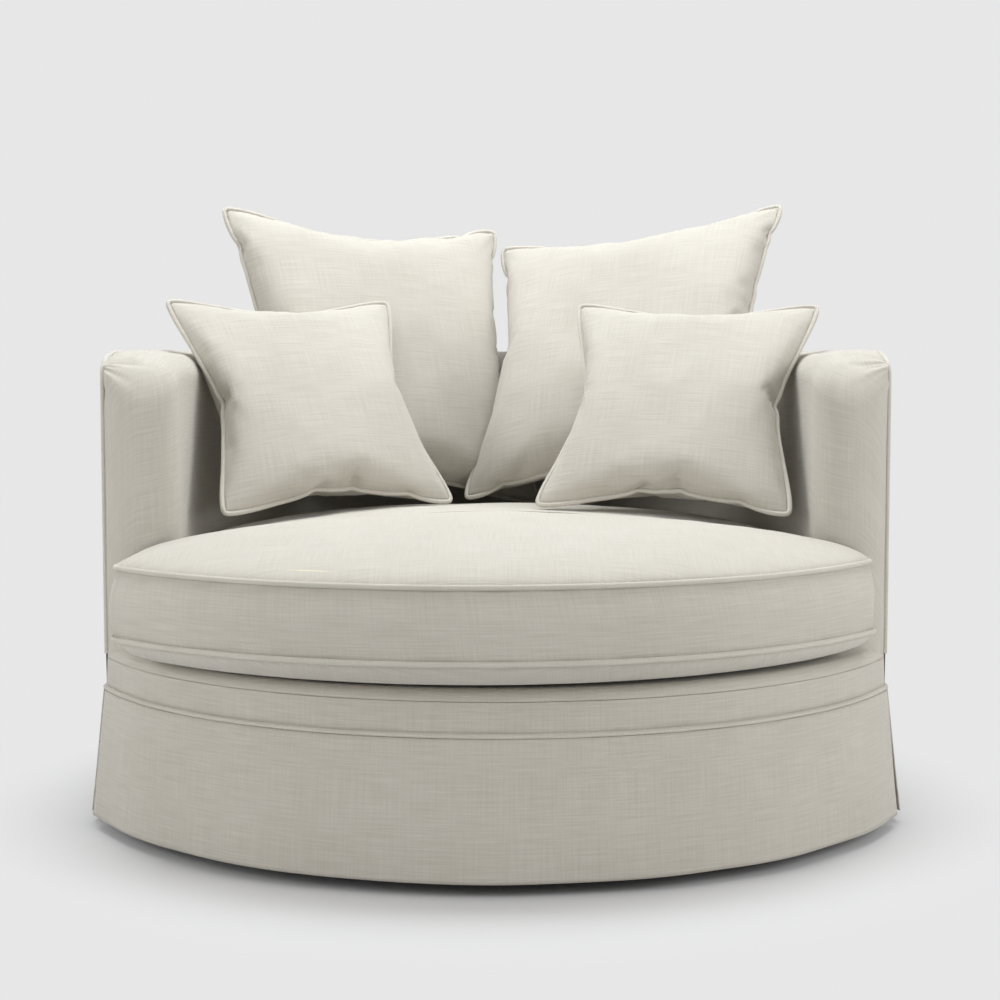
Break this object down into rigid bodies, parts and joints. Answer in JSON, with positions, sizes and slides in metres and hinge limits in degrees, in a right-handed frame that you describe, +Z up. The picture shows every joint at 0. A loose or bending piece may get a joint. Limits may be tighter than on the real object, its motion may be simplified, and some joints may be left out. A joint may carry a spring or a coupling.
{
  "type": "cuddle chair",
  "caption": "Wide round upholstered armchair: half-round tub, round front, kick-pleat skirt, loose T-shaped seat cushion and four loose square pillows.",
  "frame": {"origin": "middle of the chair's outline, on the floor", "axes": "+Z up, the front faces -Y, +X towards the right arm as seen from the front"},
  "size_m": [1.3532, 1.3115, 1.0844],
  "materials": {
    "linen": "undyed linen-look weave, matt",
    "linen_welt": "self-fabric piping over cord",
    "plywood": "birch plywood, unfinished",
    "timber": "planed softwood, unfinished",
    "dark_wood": "near-black stain",
    "nylon": "moulded",
    "steel": "zinc plated",
    "fibre_board": "smooth brown board",
    "webbing": "woven elastic",
    "felt": "needle felt",
    "dust_cloth": "spun-bonded black cloth",
    "foam": "cut polyether foam",
    "feather_pad": "white cambric pad with feather and fibre",
    "zip_tape": "woven tape with coil teeth",
    "zip_metal": "dull metal"
  },
  "bodies": {
    "chair": {"arm_front_panels": "plywood", "back_webbing": "webbing", "base_posts": "timber", "base_ring": "plywood", "crosswise_webbing": "webbing", "deck_cover": "linen", "deck_felt": "felt", "deck_pad": "foam", "dust_cover": "dust_cloth", "front_band_cover": "linen", "front_band_foam": "foam", "front_board": "fibre_board", "inside_cover": "linen", "leg_blocks": "timber", "leg_bolts": "steel", "leg_glides": "nylon", "legs": "dark_wood", "lengthwise_webbing": "webbing", "lower_posts": "timber", "mid_rail": "plywood", "outer_board": "fibre_board", "outside_cover": "linen", "pleat_backers": "linen", "seat_ring": "plywood", "skirt_back": "linen", "skirt_front": "linen", "skirt_left": "linen", "skirt_right": "linen", "skirt_welt": "linen_welt", "stretchers": "timber", "tee_nuts": "steel", "top_rail": "plywood", "tub_foam": "foam", "tub_welt": "linen_welt", "upper_posts": "timber"},
    "back_pillow_left": {"back_pillow_left_cover": "linen", "back_pillow_left_fill": "feather_pad", "back_pillow_left_welt": "linen_welt"},
    "back_pillow_right": {"back_pillow_right_cover": "linen", "back_pillow_right_fill": "feather_pad", "back_pillow_right_welt": "linen_welt"},
    "scatter_pillow_left": {"scatter_pillow_left_cover": "linen", "scatter_pillow_left_fill": "feather_pad", "scatter_pillow_left_welt": "linen_welt"},
    "scatter_pillow_right": {"scatter_pillow_right_cover": "linen", "scatter_pillow_right_fill": "feather_pad", "scatter_pillow_right_welt": "linen_welt"},
    "seat_cushion": {"seat_cushion_cover": "linen", "seat_cushion_core": "foam", "seat_top_welt": "linen_welt", "seat_bottom_welt": "linen_welt", "seat_zip": "zip_tape"},
    "zip_slider": {"seat_zip_slider": "zip_metal"}
  },
  "joints": [
    {"name": "seat_slide", "type": "slide", "parent": "chair", "child": "seat_cushion", "axis": [0, -1, 0], "range_m": [0, 0.35]},
    {"name": "back_pillow_left_lift", "type": "slide", "parent": "seat_cushion", "child": "back_pillow_left", "axis": [0, 0, 1], "range_m": [0, 0.4]},
    {"name": "back_pillow_right_lift", "type": "slide", "parent": "back_pillow_left", "child": "back_pillow_right", "axis": [0, 0, 1], "range_m": [0, 0.4]},
    {"name": "scatter_pillow_left_lift", "type": "slide", "parent": "back_pillow_left", "child": "scatter_pillow_left", "axis": [0, 0, 1], "range_m": [0, 0.3]},
    {"name": "scatter_pillow_right_lift", "type": "slide", "parent": "back_pillow_right", "child": "scatter_pillow_right", "axis": [0, 0, 1], "range_m": [0, 0.3]},
    {"name": "zip_run", "type": "hinge", "parent": "seat_cushion", "child": "zip_slider", "pos_m": [0, -0.02045, 0.40025], "axis": [0, 0, 1], "range_deg": [-62, 0]}
  ]
}
